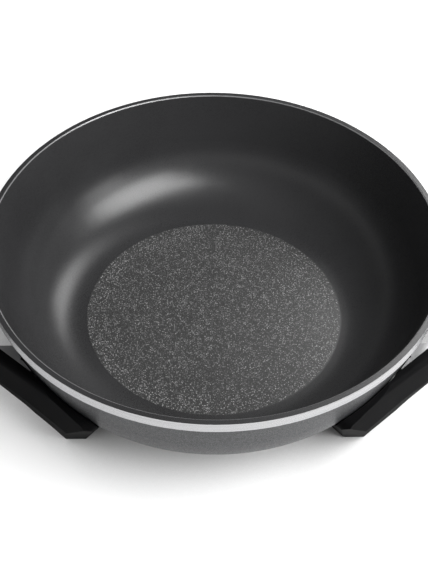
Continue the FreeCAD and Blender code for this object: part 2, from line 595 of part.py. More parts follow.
# Bowl, cast in one piece with its lugs
def make_bowl():
    body = new_body("bowl")
    outside = new_sketch(body, "bowl_outside", "XZ_Plane")
    bowl_outside(outside)
    turned(body, "PartDesign::Revolution", outside, "bowl_solid")

    ridge = new_sketch(body, "ridge_section", "XZ_Plane")
    rectangle(ridge, f"{q.element_ring} - {q.ridge_half}", q.ridge_low,
              f"{q.element_ring} + {q.ridge_half}", f"{q.base_height} + 1")
    turned(body, "PartDesign::Revolution", ridge, "element_ridge")

    rib = new_sketch(body, "rib_plan", "XY_Plane", f"{q.element_height} - {q.rib_drop}")
    rectangle(rib, f"-{q.rib_half}", q.rib_start, q.rib_half, q.rib_end)
    pad(body, rib, f"{q.base_height} - {q.element_height} + {q.rib_drop} + 1", "socket_rib")

    bosses = new_sketch(body, "boss_plan", "XY_Plane", q.tab_top)
    for side in ("", "-"):
        circle(bosses, f"{side}{TAB_X}", TAB_Y, q.tab_boss)
    pad(body, bosses, f"{q.tab_boss_top} - {q.tab_top}", "guard_bosses")

    lugs = new_sketch(body, "lug_plan", "XY_Plane", LUG_LOW)
    for _, _, flip_x, flip_y in CORNERS:
        outline(lugs, lug_outline(), flip_x, flip_y)
    pad(body, lugs, q.lug_thick, "lugs")

    inside = new_sketch(body, "bowl_inside", "XZ_Plane")
    outline(inside, [
        ("0", q.floor_height),
        (INNER_CORNER, q.floor_height, q.inner_round),
        (INNER_TOP, q.rim_height),
        (INNER_TOP, f"{q.rim_height} + {PAST}"),
        ("0", f"{q.rim_height} + {PAST}"),
    ])
    hollow = turned(body, "PartDesign::Groove", inside, "bowl_hollow")

    slots = new_sketch(body, "slot_plan", "XY_Plane", q.lug_top)
    eyes = new_sketch(body, "eye_plan", "XY_Plane", q.lug_top)
    wall_at_top = f"({WALL_EDGE} - ({BAND_LOW} - {q.lug_top}) * {LEAN})"
    near = f"sqrt({wall_at_top} ^ 2 - {q.slot_start} ^ 2)"
    far = f"sqrt({wall_at_top} ^ 2 - {q.slot_stop} ^ 2)"
    slot = [
        blade_point(near, q.slot_start),
        blade_point(f"{near} + {q.slot_width}", q.slot_start),
        blade_point(f"{far} + {q.slot_width}", q.slot_stop),
        blade_point(far, q.slot_stop),
    ]
    for _, _, flip_x, flip_y in CORNERS:
        outline(slots, slot, flip_x, flip_y)
        eye_x, eye_y = blade_point(f"{far} + {q.slot_width} / 2", q.slot_stop)
        x = eye_x if flip_x > 0 else f"-({eye_x})"
        y = eye_y if flip_y > 0 else f"-({eye_y})"
        circle(eyes, x, y, q.slot_eye)
    pocket(body, slots, "lug_slots", f"{q.lug_thick} + 1")
    pocket(body, eyes, "slot_eyes", f"{q.lug_thick} + 1")

    threads = new_sketch(body, "lug_holes", "XY_Plane", LUG_LOW)
    for _, _, flip_x, flip_y in CORNERS:
        x = f"{'-' if flip_x > 0 else ''}{q.lug_screw_x}"
        y = f"{'-' if flip_y > 0 else ''}{q.lug_screw_y}"
        circle(threads, x, y, q.lug_screw_radius)
    pocket(body, threads, "lug_threads", f"{q.lug_screw_bite} + {q.screw_spare}", up=True)

    channel = new_sketch(body, "channel_section", "XZ_Plane")
    half = f"({q.element_rod} + {q.element_slack})"
    rectangle(channel, f"{q.element_ring} - {half}", f"{q.ridge_low} - 1",
              f"{q.element_ring} + {half}", CHANNEL_TOP)
    turned(body, "PartDesign::Groove", channel, "element_channel")

    opening = new_sketch(body, "opening_plan", "XY_Plane", CHANNEL_TOP)
    reach = f"({q.lead_side} + {q.lead_bend} + 1)"
    rectangle(opening, f"-{reach}", f"{q.rib_end} + 0.5", reach,
              f"{q.element_ring} + {q.ridge_half} + {PAST}")
    pocket(body, opening, "lead_opening", f"{CHANNEL_TOP} - {q.ridge_low} + 1")

    bore = new_sketch(body, "socket_seat", "XZ_Plane", f"-{q.socket_start}")
    circle(bore, "0", q.element_height, q.socket_outer)
    pocket(body, bore, "socket_bore", f"{q.socket_end} - {q.socket_start}")

    tapped = new_sketch(body, "boss_holes", "XY_Plane", q.tab_top)
    for side in ("", "-"):
        circle(tapped, f"{side}{TAB_X}", TAB_Y, q.tab_screw_radius)
    drilled = pocket(body, tapped, "boss_threads", f"{q.tab_screw_bite} + {q.screw_spare}", up=True)
    doc.recompute()

    rim = value(q.rim_height)
    inner = value(INNER_TOP)
    names = edges_where(drilled, lambda p: abs(p.z - rim) < 0.01
                        and abs(math.hypot(p.x, p.y) - inner) < 0.05)
    rounded(body, "PartDesign::Chamfer", drilled, names, q.rim_bevel, "rim_bevel")
    return node(body, "bowl")


# Heating element, its terminals and the probe's socket
def make_element():
    body = new_body("heating_element")
    path = new_sketch(body, "element_path", "XY_Plane", q.element_height)
    ring = value(q.element_ring)
    side = value(q.lead_side)
    bend = value(q.lead_bend)
    centre_y = math.sqrt((ring + bend) ** 2 - (side + bend) ** 2)
    up = FreeCAD.Vector(0, 0, 1)
    touch = math.atan2(centre_y, side + bend)
    pieces = {}
    for name, sign in (("right", 1), ("left", -1)):
        start = FreeCAD.Vector(sign * side, value(q.lead_end), 0)
        stop = FreeCAD.Vector(sign * side, centre_y, 0)
        line = path.addGeometry(Part.LineSegment(start, stop), False)
        centre = FreeCAD.Vector(sign * (side + bend), centre_y, 0)
        low, high = (math.pi, math.pi + touch) if sign > 0 else (-touch, 0)
        arc = path.addGeometry(Part.ArcOfCircle(Part.Circle(centre, up, bend), low, high), False)
        pieces[name] = (line, arc)
    loop = Part.ArcOfCircle(Part.Circle(FreeCAD.Vector(0, 0, 0), up, ring), math.pi - touch, touch)
    main = path.addGeometry(loop, False)
    path.addConstraint(Sketcher.Constraint("Coincident", main, 3, -1, 1))
    index = path.addConstraint(Sketcher.Constraint("Radius", main, ring))
    path.setExpression(f"Constraints[{index}]", q.element_ring)
    for name, sign in (("right", ""), ("left", "-")):
        line, arc = pieces[name]
        hold_point(path, line, 1, f"{sign}{q.lead_side}", q.lead_end)
        path.addConstraint(Sketcher.Constraint("Vertical", line))
        arc_start, arc_end = (1, 2) if name == "right" else (2, 1)
        path.addConstraint(Sketcher.Constraint("Tangent", line, 2, arc, arc_start))
        loop_end = 2 if name == "right" else 1
        path.addConstraint(Sketcher.Constraint("Tangent", arc, arc_end, main, loop_end))
        index = path.addConstraint(Sketcher.Constraint("Radius", arc, bend))
        path.setExpression(f"Constraints[{index}]", q.lead_bend)
    section = new_sketch(body, "element_section", "XZ_Plane", f"-{q.lead_end}")
    circle(section, q.lead_side, q.element_height, q.element_rod)
    doc.recompute()
    tube = body.newObject("PartDesign::AdditivePipe", "element_tube")
    tube.Profile = section
    tube.Spine = (path, [])
    return node(body, "heating_element")


def make_terminals():
    for name, sign in (("left", "-"), ("right", "")):
        side = f"{sign}{q.lead_side}"
        pin = rod(f"pin_{name}", q.pin_radius, f"{q.pin_end} - {q.lead_end}", along="y")
        node(pin, f"terminal_pin_{name}", side, q.lead_end, q.element_height)
        bush = rod(f"bush_{name}", q.element_rod, q.insulator_length, along="y")
        hole = rod(f"bush_hole_{name}", q.pin_radius, q.insulator_length, along="y")
        ceramic = cut(f"insulator_{name}", bush, hole)
        node(ceramic, f"terminal_insulator_{name}", side, q.lead_end, q.element_height)


def make_probe_socket():
    outer = rod("socket_outside", q.socket_outer, f"{q.socket_end} - {q.socket_start}",
                y=q.socket_start, z=q.element_height, along="y")
    start = f"{q.socket_start} + {q.socket_cap}"
    inner = rod("socket_bore_tool", q.socket_inner, f"{q.socket_end} - ({start}) + 1",
                y=start, z=q.element_height, along="y")
    node(cut("socket_tube", outer, inner), "probe_socket")


# Guard round the terminal pins
def make_guard():
    body = new_body("connector_guard")
    front = new_sketch(body, "guard_outside", "XZ_Plane", f"-{q.guard_start}")
    rectangle(front, f"-{q.guard_half}", GUARD_LOW, q.guard_half, GUARD_HIGH, q.guard_corner)
    shell = pad(body, front, f"{q.guard_end} - {q.guard_start}", "guard_block")
    shell.Reversed = True
    tabs = new_sketch(body, "tab_plan", "XY_Plane", f"{q.tab_top} - {q.guard_wall}")
    reach = f"{q.guard_half} + {q.tab_reach}"
    rectangle(tabs, f"-({reach})", q.guard_start, reach, f"{q.guard_start} + {q.tab_length}", q.tab_corner)
    pad(body, tabs, q.guard_wall, "guard_tabs")
    inside = new_sketch(body, "guard_inside", "XZ_Plane", f"-({q.guard_start} + {q.guard_wall})")
    rectangle(inside, f"-{q.guard_half} + {q.guard_wall}", f"{GUARD_LOW} + {q.guard_wall}",
              f"{q.guard_half} - {q.guard_wall}", f"{GUARD_HIGH} - {q.guard_wall}",
              f"{q.guard_corner} - {q.guard_wall}")
    pocket(body, inside, "guard_hollow")
    holes = new_sketch(body, "guard_holes", "XZ_Plane", f"-({q.guard_start} - 1)")
    for side in ("", "-"):
        circle(holes, f"{side}{q.lead_side}", q.element_height, f"{q.element_rod} + {q.press_play}")
    circle(holes, "0", q.element_height, f"{q.socket_outer} + {q.press_play}")
    pocket(body, holes, "guard_through", f"{q.guard_wall} + 2")
    screws = new_sketch(body, "tab_holes", "XY_Plane", q.tab_top)
    for side in ("", "-"):
        circle(screws, f"{side}{TAB_X}", TAB_Y, f"{q.tab_screw_radius} + {q.screw_play}")
    pocket(body, screws, "tab_through", f"{q.guard_wall} + 1")
    bowl = new_sketch(body, "bowl_clearance", "XZ_Plane")
    bowl_outside(bowl, q.guard_play)
    turned(body, "PartDesign::Groove", bowl, "room_for_bowl")
    node(body, "connector_guard")

    pieces = []
    for name, side in (("left", "-"), ("right", "")):
        low = f"{q.tab_top} - {q.guard_wall}"
        head = rod(f"tab_head_{name}", q.tab_screw_head, q.tab_screw_rise,
                   f"{side}{TAB_X}", TAB_Y, f"{low} - {q.tab_screw_rise}")
        shank = rod(f"tab_shank_{name}", q.tab_screw_radius, f"{q.guard_wall} + {q.tab_screw_bite}",
                    f"{side}{TAB_X}", TAB_Y, low)
        pieces.append(fuse(f"tab_screw_{name}", [head, shank]))
    node(group("tab_screws", pieces), "guard_screws")


# Handle-and-leg frame: half of the left one, then its mirror images
def make_half_frame():
    body = new_body("half_frame")
    plan = new_sketch(body, "frame_plan", "XY_Plane", q.pad_show)
    start = f"-({q.blade_start})"
    skew = f"({INNER_ANGLE} - {q.grip_angle})"
    depth = f"({q.outer_face} - {q.blade_start} * sin({skew})) / cos({skew})"
    front = [
        blade_point(depth, start),
        blade_point(q.leg_inner, start),
        blade_point(q.leg_inner, q.leg_back),
        (*blade_point(q.blade_inner, q.leg_back), q.leg_fillet),
    ]
    back = [(corner[0], f"-({corner[1]})", *corner[2:]) for corner in front]
    outline(plan, [(f"-{OUTER_TIP}", "0", q.grip_round)] + front
            + [(f"-{INNER_TIP}", "0", q.finger_round)] + back[::-1])
    pad(body, plan, f"{q.lug_top} - {q.pad_show}", "frame_block")

    web = new_sketch(body, "web_plan", "XY_Plane", WEB_LOW)
    inside_blade = f"{q.blade_inner} + {q.web_bite}"
    outline(web, [
        blade_point(q.leg_inner, q.web_start),
        blade_point(inside_blade, q.web_start),
        blade_at_rear(inside_blade),
        (f"-{q.lug_root}", f"-{q.lug_rear}"),
    ])
    pad(body, web, q.web_thick, "lug_shelf")

    half = new_sketch(body, "rear_half", "XY_Plane")
    rectangle(half, f"-{FAR}", "0", FAR, FAR)
    pocket(body, half, "front_half_only", both_ways=True)

    bowl = new_sketch(body, "frame_bowl_clearance", "XZ_Plane")
    bowl_outside(bowl, q.bowl_play)
    turned(body, "PartDesign::Groove", bowl, "room_for_bowl_and_frame")

    under = new_sketch(body, "under_blade", "XZ_Plane", turn=f"90 + {q.blade_angle}")
    grip_at = f"{OUTER_TIP} * sin({q.blade_angle})"
    outline(under, [
        (q.foot_trail, f"-{PAST}"),
        (q.foot_trail, q.blade_low, q.trail_round),
        (f"{q.foot_trail} + 2 * {q.trail_round}", q.blade_low),
        (grip_at, q.grip_low),
        (grip_at, f"-{PAST}"),
    ])
    pocket(body, under, "arch", both_ways=True)

    lead = new_sketch(body, "leading_side", "XZ_Plane", turn=f"90 + {q.blade_angle}")
    outline(lead, [
        (q.foot_lead, f"-{PAST}"),
        (q.foot_lead, "0"),
        (f"-{q.brow_front}", f"{q.lug_top} - {q.brow_low}", q.brow_round),
        (q.brow_back, q.lug_top),
        (q.brow_back, f"{q.lug_top} + {PAST}"),
        (f"{start} - {FAR}", f"{q.lug_top} + {PAST}"),
        (f"{start} - {FAR}", f"-{PAST}"),
    ])
    pocket(body, lead, "leading_cut", both_ways=True)

    lean = new_sketch(body, "outer_lean", "XZ_Plane", turn=f"180 + {q.blade_angle}")
    outline(lean, [
        (q.foot_outer, f"-{PAST}"),
        (q.foot_outer, "0"),
        (q.knee_face, q.knee_height),
        (q.lean_face, f"{q.lug_top} - {q.face_lean_depth}"),
        (FAR, f"{q.lug_top} - {q.face_lean_depth}"),
        (FAR, f"-{PAST}"),
    ])
    pocket(body, lean, "lean_cut", both_ways=True)

    face_cut = new_sketch(body, "front_face", "YZ_Plane")
    outline(face_cut, [
        (f"-{q.foot_front}", f"-{PAST}"),
        (f"-{q.foot_front}", "0"),
        (f"-{q.foot_front} - {q.front_lean}", q.lug_top),
        (f"-{q.foot_front} - {q.front_lean}", f"{q.lug_top} + {PAST}"),
        (f"-{FAR}", f"{q.lug_top} + {PAST}"),
        (f"-{FAR}", f"-{PAST}"),
    ])
    pocket(body, face_cut, "front_cut", both_ways=True)

    hole = new_sketch(body, "shelf_hole", "XY_Plane", WEB_TOP)
    circle(hole, f"-{q.lug_screw_x}", f"-{q.lug_screw_y}", f"{q.lug_screw_radius} + {q.screw_play}")
    pocket(body, hole, "shelf_through", f"{q.web_thick} + 1")

    seat = new_sketch(body, "pad_seat", "XY_Plane", q.pad_show)
    pad_outline(seat, play=q.pad_play)
    last = pocket(body, seat, "pad_recess", f"{q.pad_depth} + {q.pad_play}", up=True)
    doc.recompute()

    top = value(q.lug_top)
    angle = math.radians(value(q.blade_angle))
    mid_blade = value(f"({q.outer_face} + {q.blade_inner}) / 2")
    mid_grip = value(f"({GRIP_REACH} + {FINGER_REACH}) / 2")

    def on_outer_rim(p):
        depth_here = -p.x * math.cos(angle) - p.y * math.sin(angle)
        outside = depth_here > mid_blade or -p.x > mid_grip
        return abs(p.z - top) < 0.01 and outside

    names = [name for name in edges_where(last, on_outer_rim) if not crosses_middle(last, name)]
    rounded(body, "PartDesign::Fillet", last, names, q.edge_round, "frame_edge")
    return body


def crosses_middle(feature, name):
    """Whether an edge lies in the plane that halves the frame."""
    edge = feature.Shape.getElement(name)
    return all(abs(point.y) < 0.01 for point in edge.discretize(Number=5))


def pad_outline(sketch, flip_x=1, flip_y=1, play="0"):
    """Long rounded foot pad across a leg, larger by a play."""
    half = f"({q.pad_width} / 2 + ({play}))"
    middle = f"({q.foot_lead} + {q.foot_trail}) / 2"
    near = f"{q.leg_inner} + {q.pad_inset} - ({play})"
    far = f"{q.leg_inner} + {q.pad_inset} + {q.pad_length} + ({play})"
    corner = f"{q.pad_width} / 3"
    outline(sketch, [
        (*blade_point(near, f"{middle} - {half}"), corner),
        (*blade_point(far, f"{middle} - {half}"), corner),
        (*blade_point(far, f"{middle} + {half}"), corner),
        (*blade_point(near, f"{middle} + {half}"), corner),
    ], flip_x, flip_y)


def make_frames():
    half = make_half_frame()
    other = mirror("rear_half_frame", half, (0, 1, 0))
    left = node(fuse("left_frame", [half, other]), "left_handle_frame")
    node(mirror("right_frame", left, (1, 0, 0)), "right_handle_frame", shifted=True)


# Foot pads, heat barriers and screws, one set for each corner
def make_corner_pieces():
    for side, end, flip_x, flip_y in CORNERS:
        body = new_body(f"{side}_{end}_foot_pad")
        plan = new_sketch(body, f"{side}_{end}_pad_plan", "XY_Plane")
        pad_outline(plan, flip_x, flip_y)
        pad(body, plan, f"{q.pad_show} + {q.pad_depth}", f"{side}_{end}_pad")
        node(body, f"{side}_{end}_foot_pad")
    for side, end, flip_x, flip_y in CORNERS:
        body = new_body(f"{side}_{end}_heat_barrier")
        plan = new_sketch(body, f"{side}_{end}_barrier_plan", "XY_Plane", WEB_TOP)
        outline(plan, barrier_outline(), flip_x, flip_y)
        x = f"{'-' if flip_x > 0 else ''}{q.lug_screw_x}"
        y = f"{'-' if flip_y > 0 else ''}{q.lug_screw_y}"
        circle(plan, x, y, f"{q.lug_screw_radius} + {q.screw_play}")
        pad(body, plan, q.gasket_thick, f"{side}_{end}_barrier")
        node(body, f"{side}_{end}_heat_barrier")
    for side, sign_x in (("left", "-"), ("right", "")):
        pieces = []
        for end, sign_y in (("front", "-"), ("rear", "")):
            x, y = f"{sign_x}{q.lug_screw_x}", f"{sign_y}{q.lug_screw_y}"
            head = rod(f"{side}_{end}_head", q.lug_screw_head, q.lug_screw_rise,
                       x, y, f"{WEB_LOW} - {q.lug_screw_rise}")
            reach = f"{q.web_thick} + {q.gasket_thick} + {q.lug_screw_bite}"
            shank = rod(f"{side}_{end}_shank", q.lug_screw_radius, reach, x, y, WEB_LOW)
            pieces.append(fuse(f"{side}_{end}_screw", [head, shank]))
        node(group(f"{side}_screws", pieces), f"{side}_lug_screws")


def barrier_outline():
    """Heat barrier between lug and shelf, clear of the bowl's wall."""
    face = f"{q.blade_inner} - {q.lug_play} - {q.gasket_inset}"
    outer_x, rear_y = blade_at_rear(face)
    wall = f"({WALL_AT_LUG} + {q.bowl_play})"
    return [
        blade_point(face, q.slot_stop),
        (f"{outer_x} + {q.gasket_inset}", f"{rear_y} - {q.gasket_inset}"),
        (f"-sqrt({wall} ^ 2 - {q.lug_rear} ^ 2)", f"{rear_y} - {q.gasket_inset}"),
        blade_point(f"sqrt({wall} ^ 2 - {q.slot_stop} ^ 2)", q.slot_stop),
    ]


# Thermostat case
def case_outline(inset="0"):
    """Case seen from above, inside it by an inset."""
    front = f"{q.case_front} + ({inset})"
    rear = f"{q.case_rear} - ({inset})"
    half = f"{q.case_half} - ({inset})"
    tail = f"{q.case_tail} - ({inset})"
    corner = f"{q.case_corner} - ({inset})"
    return [
        (half, front, corner),
        (half, q.case_waist, corner),
        (tail, rear, corner),
        (f"-({tail})", rear, corner),
        (f"-({half})", q.case_waist, corner),
        (f"-({half})", front, corner),
    ]


def case_screw_places():
    front = f"{q.case_front} + {q.case_screw_edge}"
    rear = f"{q.case_rear} - {q.case_screw_edge}"
    return [(f"-{q.case_screw_x}", front), (q.case_screw_x, front),
            (f"-{q.case_screw_rear_x}", rear), (q.case_screw_rear_x, rear)]


def make_case_half(name, low, high, inner_low, inner_high, hole_radius):
    """One half of the case: block, hollow, screw bosses, front and back openings."""
    body = new_body(name)
    plan = new_sketch(body, f"{name}_plan", "XY_Plane", low)
    outline(plan, case_outline())
    block_feature = pad(body, plan, f"({high}) - ({low})", f"{name}_block")
    doc.recompute()
    outer_z = value(low) if name == "case_lower" else value(high)
    names = edges_where(block_feature, lambda p: abs(p.z - outer_z) < 0.01)
    rounded(body, "PartDesign::Fillet", block_feature, names, q.case_edge, f"{name}_edge")
    hollow = new_sketch(body, f"{name}_hollow_plan", "XY_Plane", inner_high)
    outline(hollow, case_outline(q.case_wall))
    pocket(body, hollow, f"{name}_hollow", f"({inner_high}) - ({inner_low})")
    bosses = new_sketch(body, f"{name}_boss_plan", "XY_Plane", inner_low)
    for x, y in case_screw_places():
        circle(bosses, x, y, q.case_boss)
    pad(body, bosses, f"({inner_high}) - ({inner_low})", f"{name}_bosses")
    window = new_sketch(body, f"{name}_window", "XZ_Plane", f"-({q.case_front} - 1)")
    reach = f"({NOSE_HALF} + {q.nose_play})"
    rectangle(window, f"-{reach}", f"{NOSE_LOW} - {q.nose_play}", reach,
              f"{NOSE_HIGH} + {q.nose_play}")
    pocket(body, window, f"{name}_front", f"{q.nose_end} - {q.case_front} + 1.5")
    inlet = new_sketch(body, f"{name}_inlet", "XZ_Plane", f"-({q.case_rear} - {q.case_wall} - 1)")
    circle(inlet, "0", q.case_split, q.gland_radius)
    pocket(body, inlet, f"{name}_back", f"{q.case_wall} + 2")
    screws = new_sketch(body, f"{name}_screw_holes", "XY_Plane", q.case_split)
    for x, y in case_screw_places():
        circle(screws, x, y, hole_radius)
    if name == "case_lower":
        pocket(body, screws, f"{name}_holes", f"{q.case_split} - {q.case_low} + 1")
        heads = new_sketch(body, f"{name}_head_seats", "XY_Plane", q.case_low)
        for x, y in case_screw_places():
            circle(heads, x, y, f"{q.case_screw_head} + {q.screw_play}")
        pocket(body, heads, f"{name}_heads", f"{q.case_screw_rise} + {q.head_gap}", up=True)
        posts = new_sketch(body, "post_plan", "XY_Plane", CASE_FLOOR)
        for y in (f"{q.plate_start} + {q.post_inset}", f"{q.plate_end} - {q.post_inset}"):
            circle(posts, "0", y, q.post_radius)
        pad(body, posts, q.post_height, "plate_posts")
    else:
        pocket(body, screws, f"{name}_holes", f"{q.case_screw_bite} + {q.screw_spare}", up=True)
        shaft = new_sketch(body, "shaft_hole", "XY_Plane", q.case_high)
        circle(shaft, "0", q.dial_place, f"{q.shaft_radius} + {q.shaft_play}")
        circle(shaft, "0", q.lamp_place, q.lens_radius)
        pocket(body, shaft, "roof_holes", f"{q.case_wall} + 1")
        flange = new_sketch(body, "lens_seat", "XY_Plane", LENS_LOW)
        circle(flange, "0", q.lamp_place, q.lens_flange)
        pocket(body, flange, "lens_recess", f"{CASE_ROOF} - {LENS_LOW} + 1", up=False)
    return node(body, name)


def make_case():
    make_case_half("case_lower", q.case_low, q.case_split, CASE_FLOOR, q.case_split,
                   f"{q.case_screw_radius} + {q.screw_play}")
    make_case_half("case_upper", q.case_split, q.case_high, q.case_split, CASE_ROOF,
                   q.case_screw_radius)
    pieces = []
    for number, (x, y) in enumerate(case_screw_places(), start=1):
        head_top = f"{q.case_low} + {q.case_screw_rise} + {q.head_gap}"
        head = rod(f"case_head_{number}", q.case_screw_head, q.case_screw_rise,
                   x, y, f"{q.case_low} + {q.head_gap}")
        shank = rod(f"case_shank_{number}", q.case_screw_radius,
                    f"{q.case_split} + {q.case_screw_bite} - ({head_top})", x, y, head_top)
        pieces.append(fuse(f"case_screw_{number}", [head, shank]))
    node(group("case_screw_set", pieces), "case_screws")


# Plug nose, receptacles, terminal blocks, probe and its clamp
def make_plug():
    body = new_body("plug_nose")
    front = new_sketch(body, "nose_section", "XZ_Plane", f"-{q.nose_start}")
    rectangle(front, f"-{NOSE_HALF}", NOSE_LOW, NOSE_HALF, NOSE_HIGH, q.nose_corner)
    shell = pad(body, front, f"{q.nose_end} - {q.nose_start}", "nose_block")
    shell.Reversed = True
    holes = new_sketch(body, "nose_holes", "XZ_Plane", f"-({q.nose_start} - 1)")
    for side in ("", "-"):
        circle(holes, f"{side}{q.lead_side}", q.element_height, q.receptacle_outer)
    circle(holes, "0", q.element_height, f"{q.probe_radius} + {q.press_play}")
    pocket(body, holes, "nose_bores")
    node(body, "plug_nose")

    for name, sign in (("left", "-"), ("right", "")):
        side = f"{sign}{q.lead_side}"
        start = f"({q.nose_start} + {q.receptacle_inset})"
        outer = rod(f"receptacle_outside_{name}", q.receptacle_outer,
                    f"{q.block_start} - {start}", along="y")
        depth = f"({q.pin_end} - {start} + {q.receptacle_spare})"
        inner = rod(f"receptacle_bore_{name}", q.receptacle_inner, depth, along="y")
        node(cut(f"receptacle_tube_{name}", outer, inner), f"receptacle_{name}",
             side, start, q.element_height)
        terminal = block(f"terminal_{name}", ("0", "0", "0"),
                         (f"2 * {q.block_half}", q.block_length, q.block_height))
        node(terminal, f"terminal_block_{name}", f"{side} - {q.block_half}", q.block_start, CASE_FLOOR)

    probe = rod("probe_rod", q.probe_radius, f"{q.probe_end} - {q.probe_start}", along="y")
    node(probe, "temperature_probe", "0", q.probe_start, q.element_height)
    holder = block("clamp_block", (f"-{q.clamp_half}", q.clamp_start, CASE_FLOOR),
                   (q.clamp_half, q.probe_end, CLAMP_TOP))
    hole = rod("clamp_bore", q.probe_radius, f"{q.probe_end} - {q.clamp_start}",
               y=q.clamp_start, z=q.element_height, along="y")
    node(cut("clamp", holder, hole), "probe_clamp")


# Switch plate, contact arms, cam, shaft and dial
def make_switch():
    plate = block("plate", (f"-{q.plate_half}", q.plate_start, PLATE_LOW),
                  (q.plate_half, q.plate_end, PLATE_TOP))
    node(plate, "switch_plate", f"-{q.plate_half}", q.plate_start, PLATE_LOW)
    for name, sign in (("left", "-"), ("right", "")):
        inner = f"({q.lead_side} - {q.block_half} - {q.arm_thick})"
        start = inner if sign == "" else f"-{inner} - {q.arm_thick}"
        arm = block(f"arm_{name}", ("0", "0", "0"),
                    (q.arm_thick, q.arm_length, q.arm_height))
        node(arm, f"contact_arm_{name}", start, q.arm_start, q.arm_low)


def make_dial():
    body = new_body("dial")
    skirt = new_sketch(body, "dial_plan", "XY_Plane", DIAL_LOW)
    circle(skirt, "0", q.dial_place, q.dial_radius)
    disc = pad(body, skirt, q.dial_skirt, "dial_skirt")
    doc.recompute()
    top = value(DIAL_LOW) + value(q.dial_skirt)
    names = edges_where(disc, lambda p: abs(p.z - top) < 0.01)
    rounded(body, "PartDesign::Fillet", disc, names, q.dial_edge, "dial_edge")
    bar = new_sketch(body, "bar_plan", "XY_Plane", f"{DIAL_LOW} + {q.dial_skirt} - 1")
    rectangle(bar, f"-{q.grip_bar_half}", f"{q.dial_place} - {q.grip_bar_length}",
              q.grip_bar_half, f"{q.dial_place} + {q.grip_bar_length}", q.grip_bar_round)
    raised = pad(body, bar, f"{q.grip_bar_height} + 1", "grip_bar")
    doc.recompute()
    crest = top + value(q.grip_bar_height)
    names = edges_where(raised, lambda p: abs(p.z - crest) < 0.01)
    rounded(body, "PartDesign::Fillet", raised, names, q.dial_edge, "bar_edge")
    bore = new_sketch(body, "dial_bore", "XY_Plane", DIAL_LOW)
    circle(bore, "0", q.dial_place, q.shaft_radius)
    pocket(body, bore, "dial_socket", q.shaft_grip, up=True)
    node(body, "dial")

    shaft = rod("shaft", q.shaft_radius, f"{DIAL_LOW} + {q.shaft_grip} - {SHAFT_LOW}")
    node(shaft, "dial_shaft", "0", q.dial_place, SHAFT_LOW)
    disc = rod("cam_disc", f"{q.cam_radius} - {q.cam_offset}", q.cam_thick, x=q.cam_offset)
    hole = rod("cam_hole", q.shaft_radius, q.cam_thick)
    node(cut("cam_piece", disc, hole), "dial_cam", "0", q.dial_place, q.cam_low)


# Pilot lamp, its lens and the cord inlet
def make_lamp_and_inlet():
    low = f"({CLAMP_TOP} + {q.lamp_play})"
    lamp = rod("lamp", q.lamp_radius, f"{LENS_LOW} - {q.case_wall} - {q.lamp_play} - {low}")
    node(lamp, "neon_lamp", "0", q.lamp_place, low)
    stem = rod("lens_stem", q.lens_radius, f"{q.case_high} + {q.lens_show} - ({LENS_LOW})",
               y=q.lamp_place, z=LENS_LOW)
    flange = rod("lens_rim", q.lens_flange, q.case_wall, y=q.lamp_place,
                 z=f"{LENS_LOW} - {q.case_wall}")
    node(fuse("lens", [stem, flange]), "lamp_lens")

    wall = f"{q.case_rear} - {q.case_wall}"
    inner = rod("gland_inner", q.gland_flange, q.gland_inside,
                y=f"{wall} - {q.gland_inside}", z=q.case_split, along="y")
    neck = rod("gland_neck", q.gland_radius, q.case_wall, y=wall, z=q.case_split, along="y")
    outer = rod("gland_outer", q.gland_flange, q.gland_show, y=q.case_rear,
                z=q.case_split, along="y")
    hole = rod("gland_hole", q.gland_bore, f"{q.gland_inside} + {q.case_wall} + {q.gland_show} + 2",
               y=f"{wall} - {q.gland_inside} - 1", z=q.case_split, along="y")
    node(cut("gland", fuse("gland_body", [inner, neck, outer]), hole), "cord_inlet")


make_bowl()
make_element()
make_terminals()
make_probe_socket()
make_guard()
make_frames()
make_corner_pieces()
make_case()
make_plug()
make_switch()
make_dial()
make_lamp_and_inlet()
doc.recompute()

failed = [item.Name for item in doc.Objects if {"Invalid", "Error"} & set(item.State)]
if failed:
    raise RuntimeError(f"failed objects: {failed}")
for item in NODES:
    if item.Shape.isNull() or not item.Shape.isValid() or not item.Shape.Solids:
        raise RuntimeError(f"bad shape: {item.Label}")
for item in NODES:
    item.Shape.exportStep(f"parts/{item.Label}.step")
    print(f"{item.Label}: {len(item.Shape.Solids)} solid, {item.Shape.Volume:.0f} mm3")
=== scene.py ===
"""Looks of the electric wok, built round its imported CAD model. Lengths are in metres, in the row frame."""

import json
import math

import bmesh
import bpy
from mathutils import Matrix, Quaternion, Vector


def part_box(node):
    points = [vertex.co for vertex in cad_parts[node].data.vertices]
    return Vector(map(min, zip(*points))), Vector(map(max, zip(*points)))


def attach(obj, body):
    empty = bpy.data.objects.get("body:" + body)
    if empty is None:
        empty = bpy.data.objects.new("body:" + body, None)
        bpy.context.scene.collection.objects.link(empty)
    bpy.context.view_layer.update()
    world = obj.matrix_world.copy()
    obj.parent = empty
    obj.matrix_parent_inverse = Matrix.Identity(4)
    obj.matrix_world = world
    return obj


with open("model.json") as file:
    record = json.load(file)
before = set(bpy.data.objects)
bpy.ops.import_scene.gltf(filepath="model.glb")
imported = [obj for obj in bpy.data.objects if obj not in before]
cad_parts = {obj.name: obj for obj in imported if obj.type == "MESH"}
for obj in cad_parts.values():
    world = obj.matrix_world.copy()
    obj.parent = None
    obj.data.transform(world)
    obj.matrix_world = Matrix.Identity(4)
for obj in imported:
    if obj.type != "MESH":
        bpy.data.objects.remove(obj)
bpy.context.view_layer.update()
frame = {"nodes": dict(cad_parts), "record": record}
NODES = frame["nodes"]
SLOTS = {row["node"]: row["material_slot"] for row in frame["record"]["subparts"]}

MM = 0.001
AXIS_Y = -25.5 * MM          # the bowl's upright axis

